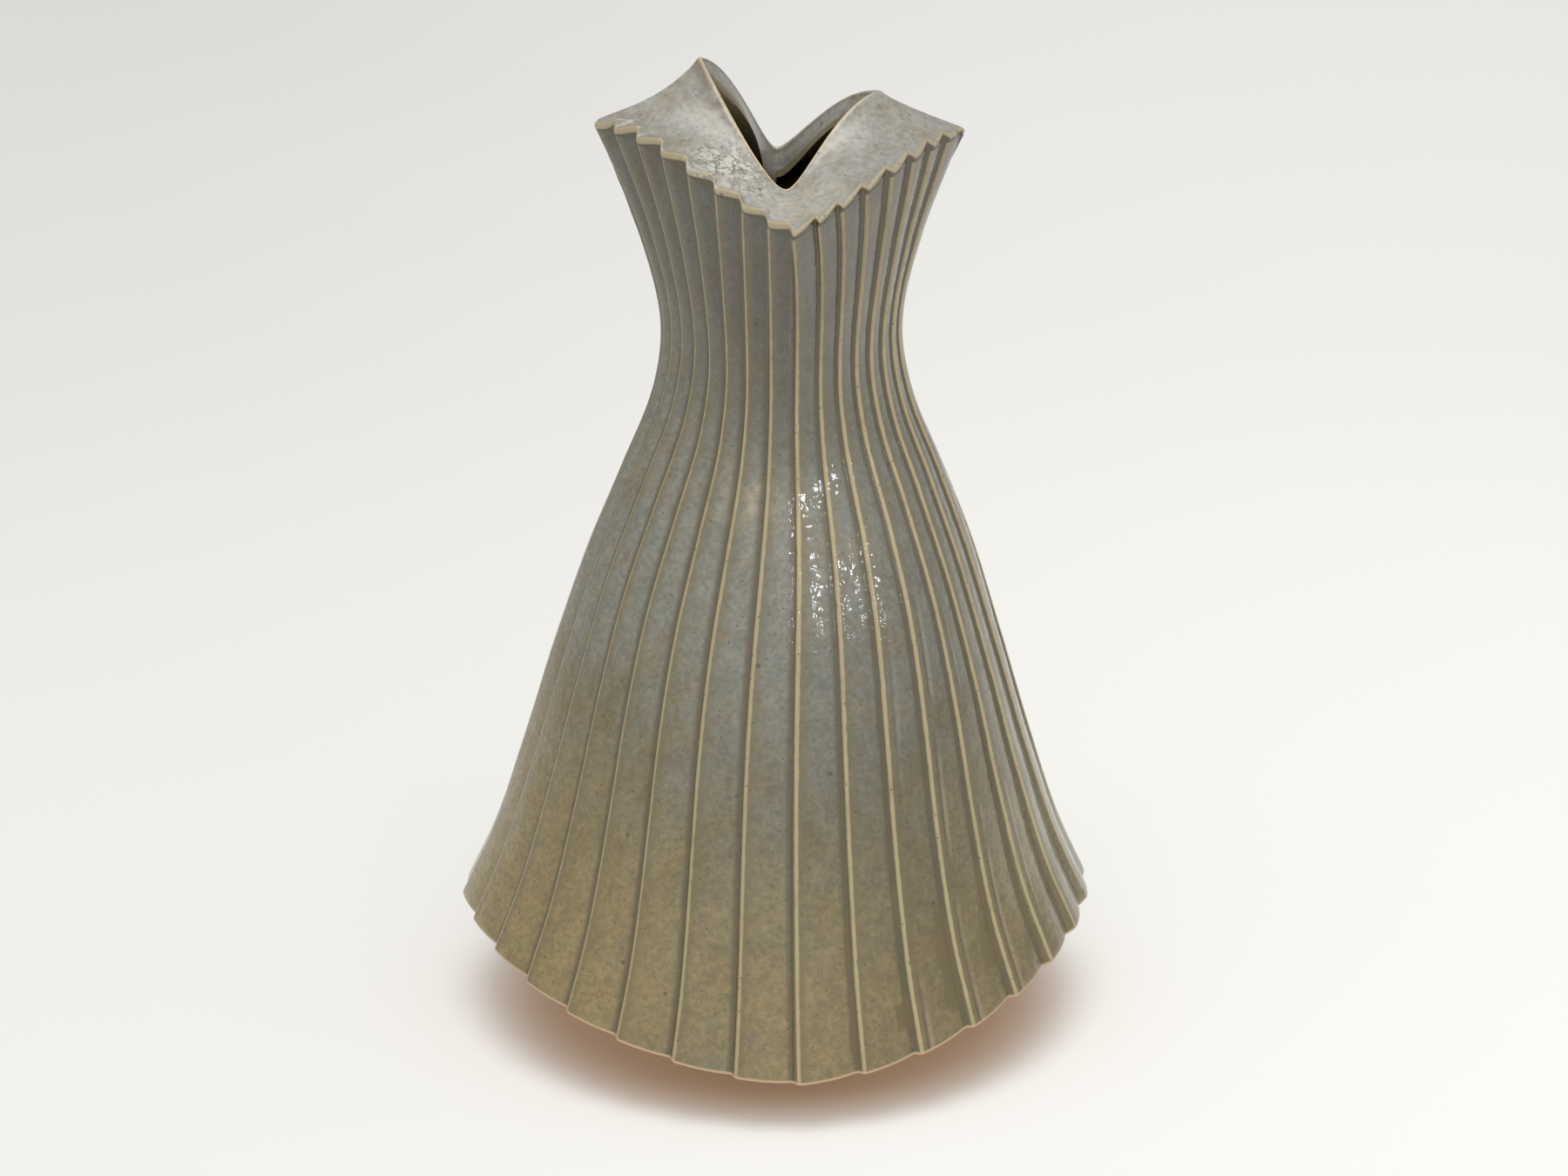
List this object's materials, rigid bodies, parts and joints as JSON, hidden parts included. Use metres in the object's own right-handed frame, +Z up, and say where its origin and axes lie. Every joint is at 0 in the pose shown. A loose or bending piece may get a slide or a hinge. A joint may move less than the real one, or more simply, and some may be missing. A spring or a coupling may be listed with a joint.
{
  "type": "flower vase",
  "caption": "Slab-built stoneware flower vase with knife-pleated walls, a narrow waist, a flared swept hem, and a folded collar round a diamond mouth.",
  "frame": {"origin": "on the table under the middle of the foot ring", "axes": "+Z up; -Y is the front corner, with the low front of the collar; +X is the right corner, under the rounded peak"},
  "size_m": [0.1974, 0.1974, 0.3],
  "materials": {
    "glaze": "satin stoneware glaze, blue-grey over olive, breaking to cream on edges",
    "bare_clay": "unglazed warm buff stoneware"
  },
  "bodies": {
    "root": {"front_left_wall": "glaze", "front_right_wall": "glaze", "back_left_wall": "glaze", "back_right_wall": "glaze", "front_collar": "glaze", "back_collar": "glaze", "base_slab": "bare_clay", "foot_ring": "bare_clay", "front_seam_coil": "glaze", "right_seam_coil": "glaze", "back_seam_coil": "glaze", "left_seam_coil": "glaze", "base_seam_coil": "glaze", "shoulder_seam_coil": "glaze"}
  },
  "joints": []
}
